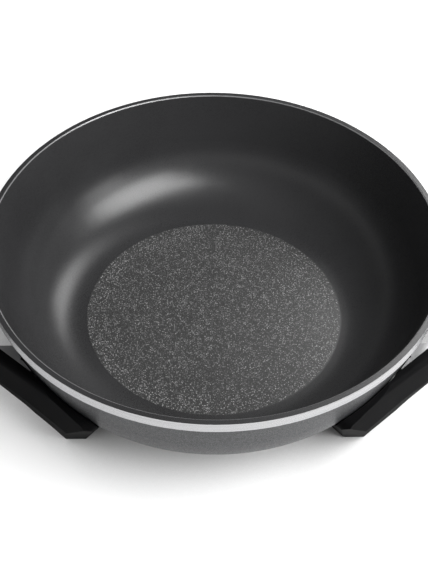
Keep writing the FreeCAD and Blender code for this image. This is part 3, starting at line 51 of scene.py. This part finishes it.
RIM_RADIUS = 180.0 * MM
RIM_TOP = 125.0 * MM
BAND_HEIGHT = 8.4 * MM
BAND_PROUD = 2.5 * MM        # band outside the wall
WALL_LEAN = math.radians(12)
HALF_WALL = 1.8 * MM
FLOOR_TOP = 33.4 * MM
FLOOR_RADIUS = 107.0 * MM    # flat cooking floor, where the cove starts
INNER_ROUND = 60.6 * MM      # cove between floor and wall
LUG_TOP = 90.0 * MM
LUG_ROOT = 172.6 * MM        # just outside the wall at the lugs' height
DISC_RADIUS = 106.5 * MM     # stippled disc on the cooking floor
DISC_ROWS = 71.0 * MM        # outside this the stipple's rings are close

SCALE_NUMBERS = 9            # 0 to 8 round the dial
SCALE_SWEEP = 270.0          # degrees, clockwise from the back
SCALE_RADIUS = 25.0 * MM
DIAL_LIFT = 0.4 * MM         # gap between dial and case
SUNK = 0.01 * MM             # print starts this far inside its surface
SCREW_APART = 9.0 * MM       # screws stand further apart than this

FLOOR_GLOW = 0.55
MIRRORED_GLOW = 0.25         # share of the floor's glow in reflections
GLOW_REACH = 0.16            # how near the object dims the glow
FLOOR_REACH = 6.0
WORLD_FILL = 0.3
WORLD_OVERHEAD = 0.1
KEY_DISTANCE, SIDE_DISTANCE = 1.5, 1.7


# ---------------------------------------------------------------- camera

def make_camera():
    data = bpy.data.cameras.new("photo_camera")
    data.sensor_width = 36.0
    data.lens = 68.5
    data.clip_start, data.clip_end = 0.01, 50.0
    camera = bpy.data.objects.new("photo_camera", data)
    bpy.context.scene.collection.objects.link(camera)
    place = Vector((-16.4, -627.8, 722.5)) * MM
    aim = Vector((0.0, -25.5, 66.6)) * MM
    roll = Quaternion((0, 0, 1), math.radians(0.89))
    camera.location = place
    camera.rotation_mode = "QUATERNION"
    camera.rotation_quaternion = (aim - place).to_track_quat("-Z", "Y") @ roll
    bpy.context.scene.camera = camera


# ---------------------------------------------------------------- shader helpers

class Shader:
    """A node material round one Principled surface. Numbers that hold all over go on its own sockets."""

    def __init__(self, name, **constants):
        self.material = bpy.data.materials.new(name)
        self.material.use_nodes = True
        self.tree = self.material.node_tree
        self.surface = self.tree.nodes["Principled BSDF"]
        for socket, value in constants.items():
            self.surface.inputs[socket.replace("_", " ")].default_value = value
        self.place = self.make("ShaderNodeTexCoord").outputs["Object"]

    def make(self, kind, **settings):
        made = self.tree.nodes.new(kind)
        for key, value in settings.items():
            setattr(made, key, value)
        return made

    def feed(self, socket, value):
        if isinstance(value, bpy.types.NodeSocket):
            self.tree.links.new(value, socket)
        elif isinstance(value, (tuple, list)) and len(value) == 3 and socket.type == "RGBA":
            socket.default_value = (*value, 1.0)
        else:
            socket.default_value = value

    def put(self, socket, value):
        self.feed(self.surface.inputs[socket], value)

    def math(self, operation, first, second=0.0, third=None):
        made = self.make("ShaderNodeMath", operation=operation)
        self.feed(made.inputs[0], first)
        self.feed(made.inputs[1], second)
        if third is not None:
            self.feed(made.inputs[2], third)
        return made.outputs[0]

    def times(self, first, *others):
        for other in others:
            first = self.math("MULTIPLY", first, other)
        return first

    def length(self, across, along):
        return self.math("SQRT", self.math("ADD", self.times(across, across), self.times(along, along)))

    def channels(self, color):
        made = self.make("ShaderNodeSeparateColor")
        self.feed(made.inputs[0], color)
        return made.outputs

    def axes(self):
        made = self.make("ShaderNodeSeparateXYZ")
        self.feed(made.inputs[0], self.place)
        return made.outputs[0], made.outputs[1], made.outputs[2]

    def join(self, x, y, z):
        made = self.make("ShaderNodeCombineXYZ")
        for socket, value in zip(made.inputs, (x, y, z)):
            self.feed(socket, value)
        return made.outputs[0]

    def stretch(self, scale):
        made = self.make("ShaderNodeMapping")
        self.feed(made.inputs["Vector"], self.place)
        made.inputs["Scale"].default_value = scale
        return made.outputs[0]

    def noise(self, scale, detail=2.0, rough=0.5, where=None):
        made = self.make("ShaderNodeTexNoise")
        self.feed(made.inputs["Vector"], where or self.place)
        self.feed(made.inputs["Scale"], scale)
        self.feed(made.inputs["Detail"], detail)
        self.feed(made.inputs["Roughness"], rough)
        return made.outputs["Fac"]

    def cells(self, scale, where=None, jitter=1.0):
        made = self.make("ShaderNodeTexVoronoi")
        self.feed(made.inputs["Vector"], where or self.place)
        self.feed(made.inputs["Scale"], scale)
        self.feed(made.inputs["Randomness"], jitter)
        return made.outputs["Distance"], made.outputs["Color"]

    def span(self, value, low, high, start=0.0, end=1.0):
        made = self.make("ShaderNodeMapRange", interpolation_type="SMOOTHSTEP")
        for socket, given in zip(made.inputs, (value, low, high, start, end)):
            self.feed(socket, given)
        return made.outputs[0]

    def blend(self, factor, first, second):
        made = self.make("ShaderNodeMix", data_type="RGBA")
        self.feed(made.inputs["Factor"], factor)
        self.feed(made.inputs[6], first)
        self.feed(made.inputs[7], second)
        return made.outputs[2]

    def choose(self, factor, first, second):
        made = self.make("ShaderNodeMix", data_type="FLOAT")
        self.feed(made.inputs["Factor"], factor)
        self.feed(made.inputs[2], first)
        self.feed(made.inputs[3], second)
        return made.outputs[0]

    def shade(self, color, factor, amount):
        """Color made darker and lighter by factor, which lies round 0.5."""
        low = tuple(c * (1 - amount) for c in color)
        high = tuple(min(1.0, c * (1 + amount)) for c in color)
        return self.blend(self.span(factor, 0.3, 0.7), low, high)

    def relief(self, height, depth, below=None):
        """Bump of the given depth in metres, over the surface's own normal or the one below."""
        made = self.make("ShaderNodeBump")
        self.feed(made.inputs["Strength"], 1.0)
        self.feed(made.inputs["Distance"], depth)
        self.feed(made.inputs["Height"], height)
        if below is not None:
            self.feed(made.inputs["Normal"], below)
        return made.outputs[0]

    def soft_edges(self, radius):
        made = self.make("ShaderNodeBevel", samples=6)
        self.feed(made.inputs["Radius"], radius)
        return made.outputs[0]

    def edge_mask(self, bevelled):
        normal = self.make("ShaderNodeNewGeometry").outputs["Normal"]
        made = self.make("ShaderNodeVectorMath", operation="DOT_PRODUCT")
        self.feed(made.inputs[0], bevelled)
        self.feed(made.inputs[1], normal)
        return self.span(made.outputs["Value"], 0.995, 0.86)


# ---------------------------------------------------------------- bowl

def round_axis(s):
    """Distance from the bowl's axis, height, and angle round the axis."""
    x, y, z = s.axes()
    y = s.math("SUBTRACT", y, AXIS_Y)
    return s.length(x, y), z, s.math("ARCTAN2", y, x)


def bowl_zones(s, radius, height):
    """Masks of the coated inside and of the bright rim band, from the cast profile."""
    band_low = RIM_TOP - BAND_HEIGHT
    middle_top = RIM_RADIUS - BAND_PROUD - HALF_WALL / math.cos(WALL_LEAN)
    middle = s.math("MULTIPLY_ADD", s.math("SUBTRACT", height, band_low), math.tan(WALL_LEAN), middle_top)

    cove = s.length(s.math("SUBTRACT", radius, FLOOR_RADIUS),
                    s.math("SUBTRACT", height, FLOOR_TOP + INNER_ROUND))
    in_cove = s.math("LESS_THAN", cove, INNER_ROUND + 1.6 * MM)
    over_floor = s.times(s.math("LESS_THAN", radius, FLOOR_RADIUS),
                         s.math("GREATER_THAN", height, FLOOR_TOP - 1.5 * MM))
    above_cove = s.times(s.math("GREATER_THAN", height, FLOOR_TOP + INNER_ROUND - 13 * MM),
                         s.math("LESS_THAN", radius, middle))
    inside = s.math("MAXIMUM", s.math("MAXIMUM", in_cove, over_floor), above_cove)

    rim_top = s.math("GREATER_THAN", height, RIM_TOP - 0.08 * MM)
    bevel = s.times(s.math("GREATER_THAN", height, RIM_TOP - 0.72 * MM),
                    s.math("LESS_THAN", height, RIM_TOP - 0.06 * MM))
    band = s.times(s.math("GREATER_THAN", height, band_low - 0.1 * MM),
                   s.math("GREATER_THAN", radius, middle))
    coated = s.math("MAXIMUM", inside, rim_top)
    bright = s.math("MAXIMUM", s.times(band, s.math("SUBTRACT", 1.0, rim_top)), s.times(bevel, 0.3))
    return coated, bright


def disc_stipple(s, radius, height, angle):
    """Mask of the stippled disc on the cooking floor, and of its pale dots."""
    around = s.join(s.times(radius, s.math("COSINE", angle)), s.times(radius, s.math("SINE", angle)), 0.0)
    dots, tint = s.cells(830.0, around, 0.9)
    dot = s.span(dots, 0.5, 0.22)
    lit = s.span(s.channels(tint)[0], 0.1, 0.9, 0.2, 1.0)
    outer_rows = s.span(radius, DISC_ROWS - 1 * MM, DISC_ROWS + 1 * MM)
    pitch = s.choose(outer_rows, 2 * math.pi / (9.0 * MM), 2 * math.pi / (2.6 * MM))
    rings = s.span(s.math("SINE", s.times(radius, pitch)), -1.0, 0.5, 0.55, 1.0)
    spokes = s.span(s.math("ABSOLUTE", s.math("SINE", s.times(angle, 4.0))), 0.02, 0.2, 0.6, 1.0)
    edge_band = s.span(radius, 88 * MM, 94 * MM, 0.8, 1.0)
    disc = s.times(s.span(radius, DISC_RADIUS, DISC_RADIUS - 0.8 * MM),
                   s.math("LESS_THAN", height, FLOOR_TOP + 0.6 * MM))
    return disc, s.times(dot, lit, s.times(rings, spokes), edge_band, disc)


def make_bowl_material():
    s = Shader("bowl_cast_and_coated", Specular_IOR_Level=0.5)
    radius, height, angle = round_axis(s)
    coated, bright = bowl_zones(s, radius, height)

    # coated inside
    disc, stipple = disc_stipple(s, radius, height, angle)
    grain = s.noise(2600.0, 2.0, 0.6)
    cloud = s.noise(9.0, 3.0, 0.5)
    mottle = s.math("MULTIPLY_ADD", grain, 0.5, s.times(cloud, 0.5))
    coat = s.shade((0.024, 0.024, 0.025), mottle, 0.22)
    coat = s.blend(disc, coat, (0.034, 0.034, 0.034))
    coat = s.blend(stipple, coat, (0.36, 0.36, 0.36))
    coat_rough = s.span(s.math("ADD", grain, s.times(cloud, 0.4)), 0.4, 0.9, 0.24, 0.32)

    # satin metallic coat outside; the lugs' upper faces get a pale, barer colour that is a painted highlight
    flake, flake_tint = s.cells(2300.0)
    sparkle = s.channels(flake_tint)
    outer = s.blend(s.span(sparkle[0], 0.2, 0.95), (0.04, 0.041, 0.043), (0.13, 0.132, 0.137))
    # painted highlight: only the lugs' upward faces are made pale, for the bright sheen they catch
    lug_top_painted_highlight = s.times(s.math("COMPARE", height, LUG_TOP, 0.3 * MM), s.math("GREATER_THAN", radius, LUG_ROOT))
    outer = s.blend(lug_top_painted_highlight, outer, (0.62, 0.62, 0.625))
    outer_rough = s.span(sparkle[1], 0.0, 1.0, 0.34, 0.5)

    # bare turned rim band
    streaks = s.join(s.times(height, 5200.0), s.times(angle, 1.5), 0.0)
    turned = s.noise(1.0, 3.0, 0.6, streaks)
    bare = s.shade((0.6, 0.6, 0.61), turned, 0.12)
    bare_rough = s.span(turned, 0.3, 0.7, 0.2, 0.34)

    s.put("Base Color", s.blend(coated, s.blend(bright, outer, bare), s.blend(bright, coat, bare)))
    s.put("Roughness", s.choose(coated, s.choose(bright, outer_rough, bare_rough),
                                s.choose(bright, coat_rough, bare_rough)))
    # painted highlight: the lugs' upward faces are also made more metallic than the rest of the outside
    s.put("Metallic", s.choose(bright, s.choose(coated, s.choose(lug_top_painted_highlight, 0.55, 0.9), 0.0), 1.0))

    coat_fine = s.math("MULTIPLY_ADD", stipple, 2.2, s.times(grain, 0.5))
    fine = s.choose(coated, s.times(flake, 0.6), coat_fine)
    fine = s.choose(bright, fine, s.times(turned, 0.5))
    s.put("Normal", s.relief(fine, 0.035 * MM))
    return s.material


# ---------------------------------------------------------------- other materials

def moulded(name, color, rough, grain_scale, grain_depth, edge, wear, **constants):
    """Moulded plastic, phenolic or rubber: faint clouds, fine grain, rounded and slightly rubbed edges."""
    s = Shader(name, **constants)
    cloud = s.noise(24.0, 4.0, 0.55)
    grain = s.noise(grain_scale, 2.0, 0.6)
    bevelled = s.soft_edges(edge)
    rubbed = s.times(s.edge_mask(bevelled), s.span(s.noise(160.0, 3.0), 0.35, 0.65, 0.2, 1.0))
    body = s.shade(color, cloud, 0.2)
    pale = tuple(min(1.0, c * (1 + 2.2 * wear) + 0.02 * wear) for c in color)
    s.put("Base Color", s.blend(rubbed, body, pale))
    uneven = s.math("ADD", cloud, s.times(grain, 0.4))
    s.put("Roughness", s.span(uneven, 0.4, 1.0, rough - 0.06, rough + 0.08))
    s.put("Normal", s.relief(grain, grain_depth, bevelled))
    return s.material


def metal(name, color, rough, scale, depth, vary=0.12, tint=None):
    """Drawn, plated or rolled metal: streaks along scale's small axis, patchy roughness, faint tarnish."""
    s = Shader(name, Metallic=1.0)
    streak = s.noise(1.0, 4.0, 0.6, s.stretch(scale))
    patch = s.noise(60.0, 3.0, 0.6)
    body = s.shade(color, s.math("MULTIPLY_ADD", streak, 0.6, s.times(patch, 0.4)), vary)
    if tint is not None:
        body = s.blend(s.span(patch, 0.45, 0.75), body, tint)
    s.put("Base Color", body)
    s.put("Roughness", s.span(s.math("ADD", streak, patch), 0.7, 1.3, rough - 0.07, rough + 0.1))
    s.put("Normal", s.relief(streak, depth, s.soft_edges(0.15 * MM)))
    return s.material


def make_felt():
    s = Shader("pressed_fibre", Roughness=0.92)
    fibre = s.noise(900.0, 5.0, 0.7, s.stretch((1.0, 2.4, 1.0)))
    s.put("Base Color", s.shade((0.7, 0.67, 0.6), fibre, 0.25))
    s.put("Normal", s.relief(fibre, 0.12 * MM))
    return s.material


def make_ceramic():
    s = Shader("glazed_ceramic", Coat_Weight=0.6, Coat_Roughness=0.08)
    cloud = s.noise(220.0, 3.0)
    speck = s.span(s.cells(700.0)[0], 0.16, 0.08)
    glaze = s.shade((0.84, 0.81, 0.73), cloud, 0.06)
    s.put("Base Color", s.blend(s.times(speck, 0.4), glaze, (0.4, 0.33, 0.25)))
    s.put("Roughness", s.span(cloud, 0.3, 0.7, 0.22, 0.36))
    s.put("Normal", s.relief(cloud, 0.04 * MM))
    return s.material


def make_clear(name, color, rough, weight):
    s = Shader(name, Transmission_Weight=weight, IOR=1.48)
    cloud = s.noise(300.0, 2.0)
    s.put("Base Color", s.shade(color, cloud, 0.06))
    s.put("Roughness", s.span(cloud, 0.3, 0.7, rough, rough + 0.06))
    s.put("Normal", s.relief(cloud, 0.01 * MM))
    return s.material


def make_element_metal():
    """Steel tube tinted straw and blue by heat."""
    s = Shader("heat_tinted_steel", Metallic=1.0)
    long = s.noise(14.0, 3.0, 0.6)
    fine = s.noise(700.0, 3.0, 0.6)
    straw = s.blend(s.span(long, 0.35, 0.6), (0.42, 0.39, 0.36), (0.46, 0.33, 0.2))
    s.put("Base Color", s.blend(s.span(long, 0.58, 0.75), straw, (0.22, 0.22, 0.3)))
    s.put("Roughness", s.span(fine, 0.3, 0.7, 0.34, 0.52))
    s.put("Normal", s.relief(fine, 0.03 * MM))
    return s.material


def make_materials():
    """A finish for each of the record's material slots. Lengths in this table are in millimetres."""
    metals = {
        "plated_pin": ("nickel_plate", (0.74, 0.72, 0.67), 0.22, (1200, 60, 1200), 0.01),
        "bare_aluminium": ("drawn_aluminium", (0.72, 0.72, 0.73), 0.34, (1500, 40, 1500), 0.02),
        "guard_steel": ("zinc_sheet", (0.6, 0.61, 0.62), 0.38, (300, 900, 900), 0.02,
                        0.16, (0.5, 0.52, 0.55)),
        "screw_steel": ("zinc_screw", (0.62, 0.62, 0.6), 0.3, (900, 900, 200), 0.02, 0.14),
        "brass_parts": ("turned_brass", (0.78, 0.58, 0.27), 0.3, (900, 120, 900), 0.02,
                        0.14, (0.55, 0.38, 0.18)),
        "spring_brass": ("rolled_brass", (0.74, 0.54, 0.26), 0.26, (900, 40, 900), 0.01,
                         0.14, (0.5, 0.36, 0.2)),
        "probe_steel": ("stainless_tube", (0.66, 0.66, 0.65), 0.24, (1300, 40, 1300), 0.015, 0.1),
    }
    plastics = {
        "nose_phenolic": ("matt_phenolic", (0.02, 0.019, 0.018), 0.5, 1300.0, 0.03, 0.4, 0.7),
        "case_plastic": ("grained_plastic", (0.02, 0.02, 0.021), 0.44, 2000.0, 0.06, 0.5, 0.8),
        "dial_plastic": ("dial_gloss", (0.024, 0.024, 0.025), 0.26, 1200.0, 0.01, 0.5, 0.8),
        "cam_plastic": ("natural_nylon", (0.68, 0.65, 0.56), 0.42, 900.0, 0.02, 0.3, 0.1),
        "gland_rubber": ("inlet_rubber", (0.022, 0.022, 0.022), 0.6, 1100.0, 0.05, 0.4, 0.5),
        "pad_rubber": ("foot_rubber", (0.03, 0.03, 0.03), 0.7, 1200.0, 0.06, 0.4, 0.8),
    }
    made = {
        "cast_bowl": make_bowl_material(),
        "element_sheath": make_element_metal(),
        "ceramic": make_ceramic(),
        "phenolic": moulded("satin_phenolic", (0.0045, 0.0045, 0.0048), 0.55, 1500.0,
                            0.02 * MM, 0.9 * MM, 0.3, Specular_IOR_Level=0.02),
        "lamp_glass": make_clear("bulb_glass", (0.96, 0.9, 0.84), 0.02, 0.9),
        "lens_amber": make_clear("amber_lens", (0.85, 0.25, 0.04), 0.1, 0.75),
        "barrier_felt": make_felt(),
    }
    for slot, (name, color, rough, scale, depth, *rest) in metals.items():
        made[slot] = metal(name, color, rough, scale, depth * MM, *rest)
    for slot, (name, color, rough, grain_scale, grain_depth, edge, wear) in plastics.items():
        made[slot] = moulded(name, color, rough, grain_scale, grain_depth * MM, edge * MM, wear)
    return made


def dress_nodes(materials):
    for name, node in NODES.items():
        node.data.materials.clear()
        node.data.materials.append(materials[SLOTS[name]])


# ---------------------------------------------------------------- small pieces

def add_piece(name, mesh, material, body):
    piece = bpy.data.objects.new(name, mesh)
    bpy.context.scene.collection.objects.link(piece)
    mesh.materials.append(material)
    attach(piece, body)


def add_bar(target, length, width, height, place):
    """Rounded bar along its local X, its underside at local z 0, moved by place."""
    ends, steps, radius, reach = [], 6, width / 2, (length - width) / 2
    for side in (1, -1):
        for step in range(steps + 1):
            turn = math.pi * (step / steps - 0.5)
            ends.append((side * (reach + radius * math.cos(turn)), side * radius * math.sin(turn)))
    low = [target.verts.new(place @ Vector((x, y, 0.0))) for x, y in ends]
    top = [target.verts.new(place @ Vector((x, y, height))) for x, y in ends]
    target.faces.new(top)
    target.faces.new(low[::-1])
    for i in range(len(ends)):
        j = (i + 1) % len(ends)
        target.faces.new((low[i], low[j], top[j], top[i]))


def mesh_from(target, name):
    bmesh.ops.remove_doubles(target, verts=target.verts, dist=0.001 * MM)
    bmesh.ops.recalc_face_normals(target, faces=target.faces)
    mesh = bpy.data.meshes.new(name)
    target.to_mesh(mesh)
    target.free()
    return mesh


def add_number(target, number, place):
    """Mesh of a printed number, moved by place and turned to be read from the back."""
    text = bpy.data.curves.new("number", "FONT")
    text.body = str(number)
    text.size = 3.6 * MM
    text.align_x, text.align_y = "CENTER", "CENTER"
    text.extrude = 0.03 * MM
    text.resolution_u = 3
    shown = bpy.data.objects.new("number", text)
    mesh = bpy.data.meshes.new_from_object(shown)
    mesh.transform(place @ Matrix.Rotation(math.pi, 4, "Z"))
    target.from_mesh(mesh)
    bpy.data.objects.remove(shown)
    bpy.data.curves.remove(text)
    bpy.data.meshes.remove(mesh)


def make_scale(ink):
    """Numbers and ticks round the dial, printed on the case, and the pointer line on the dial's bar."""
    low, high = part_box("dial")
    middle = Vector(((low[0] + high[0]) / 2, (low[1] + high[1]) / 2, 0.0))
    face = low[2] - DIAL_LIFT
    step = SCALE_SWEEP / (SCALE_NUMBERS - 1)

    def on_ring(marks_past_start, lift):
        """Place on the scale's ring, and the angle there."""
        angle = math.radians(90.0 - step * marks_past_start)
        out = Vector((math.cos(angle), math.sin(angle), 0.0))
        return Matrix.Translation(middle + out * SCALE_RADIUS + Vector((0, 0, face + lift))), angle

    marks = bmesh.new()
    for number in range(SCALE_NUMBERS):
        add_number(marks, number, on_ring(number, 0.02 * MM)[0])
        if number < SCALE_NUMBERS - 1:
            place, angle = on_ring(number + 0.5, -SUNK)
            add_bar(marks, 2.2 * MM, 0.5 * MM, 0.06 * MM, place @ Matrix.Rotation(angle, 4, "Z"))
    add_piece("scale_numbers", mesh_from(marks, "scale_numbers"), ink, "thermostat")

    line = bmesh.new()
    spot = Matrix.Translation(middle + Vector((0, 10.5 * MM, high[2] - SUNK)))
    add_bar(line, 9.0 * MM, 1.1 * MM, 0.05 * MM, spot @ Matrix.Rotation(math.pi / 2, 4, "Z"))
    add_piece("dial_pointer", mesh_from(line, "dial_pointer"), ink, "dial")


def screw_heads(name):
    """Middle and radius of each head's outer face: the screws stand upright with their heads down."""
    groups = []
    for vertex in NODES[name].data.vertices:
        point = vertex.co
        for group in groups:
            if (group[0].xy - point.xy).length < SCREW_APART:
                group.append(point)
                break
        else:
            groups.append([point])
    for group in groups:
        xs, ys = [p.x for p in group], [p.y for p in group]
        low = min(p.z for p in group)
        yield Vector(((min(xs) + max(xs)) / 2, (min(ys) + max(ys)) / 2, low)), (max(xs) - min(xs)) / 2


def make_recesses(shadow):
    """Cross recess of each screw head, as painted shade: a thin dark four-armed inlay on the head's face."""
    bodies = {"left_lug_screws": "wok", "right_lug_screws": "wok", "guard_screws": "wok",
              "case_screws": "thermostat"}
    for name, body in bodies.items():
        crosses = bmesh.new()
        for number, (spot, radius) in enumerate(screw_heads(name)):
            for arm in range(2):
                turn = Matrix.Rotation(0.4 + 1.3 * number + arm * math.pi / 2, 4, "Z")
                place = Matrix.Translation(spot - Vector((0, 0, (0.03 + 0.01 * arm) * MM))) @ turn
                add_bar(crosses, radius * 1.1, radius * 0.26, 0.05 * MM, place)
        add_piece(name + "_recess", mesh_from(crosses, name + "_recess"), shadow, body)


# ---------------------------------------------------------------- studio

class Tree:
    """A node tree of the floor or the world."""

    def __init__(self, tree):
        self.tree = tree

    def make(self, kind, inputs=(), **settings):
        """A node whose inputs, by name or number, get values or links from other nodes' outputs."""
        made = self.tree.nodes.new(kind)
        for key, value in settings.items():
            setattr(made, key, value)
        for socket, value in dict(inputs).items():
            if isinstance(value, bpy.types.NodeSocket):
                self.tree.links.new(value, made.inputs[socket])
            else:
                made.inputs[socket].default_value = value
        return made.outputs[0]

    def rays(self, *kinds):
        """1 for the given kinds of ray, 0 for the others."""
        path = self.tree.nodes.new("ShaderNodeLightPath")
        mask = path.outputs[kinds[0]]
        for kind in kinds[1:]:
            mask = self.make("ShaderNodeMath", {0: mask, 1: path.outputs[kind]}, operation="MAXIMUM")
        return mask


def make_floor():
    """Pale floor. Its glow for seen rays fades where the object stands close, so the shadow stays."""
    mesh = bpy.data.meshes.new("studio_floor")
    far = FLOOR_REACH
    mesh.from_pydata([(-far, -far, 0), (far, -far, 0), (far, far, 0), (-far, far, 0)], [], [(0, 1, 2, 3)])
    floor = bpy.data.objects.new("studio_floor", mesh)
    bpy.context.scene.collection.objects.link(floor)
    material = bpy.data.materials.new("studio_floor")
    material.use_nodes = True
    material.node_tree.nodes.clear()
    tree = Tree(material.node_tree)
    open_sky = material.node_tree.nodes.new("ShaderNodeAmbientOcclusion")
    open_sky.samples = 12
    open_sky.inputs["Distance"].default_value = GLOW_REACH
    level = tree.make("ShaderNodeMapRange", {"Value": open_sky.outputs["AO"], "From Min": 0.15,
                                             "From Max": 0.7, "To Max": FLOOR_GLOW})
    seen = tree.make("ShaderNodeMath", {0: tree.rays("Is Glossy Ray"), 1: MIRRORED_GLOW,
                                        2: tree.rays("Is Camera Ray", "Is Transmission Ray")},
                     operation="MULTIPLY_ADD")
    strength = tree.make("ShaderNodeMath", {0: level, 1: seen}, operation="MULTIPLY")
    glow = tree.make("ShaderNodeEmission", {"Strength": strength})
    diffuse = tree.make("ShaderNodeBsdfDiffuse", {"Color": (0.6, 0.6, 0.6, 1)})
    both = tree.make("ShaderNodeAddShader", {0: diffuse, 1: glow})
    out = material.node_tree.nodes.new("ShaderNodeOutputMaterial")
    material.node_tree.links.new(both, out.inputs["Surface"])
    mesh.materials.append(material)


def make_world():
    """White where it is seen, white low and dim overhead where it is mirrored, soft fill elsewhere."""
    world = bpy.data.worlds.new("studio")
    world.use_nodes = True
    bpy.context.scene.world = world
    tree = Tree(world.node_tree)
    way = world.node_tree.nodes.new("ShaderNodeTexCoord")
    parts = world.node_tree.nodes.new("ShaderNodeSeparateXYZ")
    world.node_tree.links.new(way.outputs["Generated"], parts.inputs[0])
    mirrored = tree.make("ShaderNodeMapRange", {"Value": parts.outputs[2], "From Min": 0.08, "From Max": 0.5,
                                                "To Min": 1.0, "To Max": WORLD_OVERHEAD})
    lit = tree.make("ShaderNodeMix", {"Factor": tree.rays("Is Glossy Ray"), 2: WORLD_FILL, 3: mirrored})
    seen = tree.make("ShaderNodeMix", {"Factor": tree.rays("Is Camera Ray", "Is Transmission Ray"),
                                       2: lit, 3: 1.0})
    background = world.node_tree.nodes["Background"]
    background.inputs["Color"].default_value = (1, 1, 1, 1)
    world.node_tree.links.new(seen, background.inputs["Strength"])


def make_lamp(name, direction, distance, width, height, watts):
    """Softbox that faces the middle of the bowl."""
    data = bpy.data.lights.new(name, "AREA")
    data.shape = "RECTANGLE"
    data.size, data.size_y = width, height
    data.energy = watts
    lamp = bpy.data.objects.new(name, data)
    bpy.context.scene.collection.objects.link(lamp)
    way = Vector(direction).normalized()
    lamp.location = Vector((0.0, AXIS_Y, 0.06)) + way * distance
    lamp.rotation_mode = "QUATERNION"
    lamp.rotation_quaternion = (-way).to_track_quat("-Z", "Y")


def make_studio():
    bpy.context.scene.view_settings.view_transform = "Standard"
    make_world()
    make_floor()
    make_lamp("key_softbox", (0.50, -0.36, 0.77), KEY_DISTANCE, 1.15, 0.85, 33.0)
    make_lamp("side_softbox", (0.86, -0.42, 0.30), SIDE_DISTANCE, 0.7, 0.8, 6.5)
    make_lamp("back_softbox", (0.36, 0.60, 0.72), SIDE_DISTANCE, 0.5, 0.5, 6.5)


make_camera()
make_studio()
dress_nodes(make_materials())
make_scale(moulded("printed_ink", (0.78, 0.78, 0.76), 0.5, 1500.0, 0.005 * MM, 0.05 * MM, 0.0))
make_recesses(moulded("recess_shadow", (0.02, 0.02, 0.02), 0.6, 1500.0, 0.01 * MM, 0.05 * MM, 0.0))
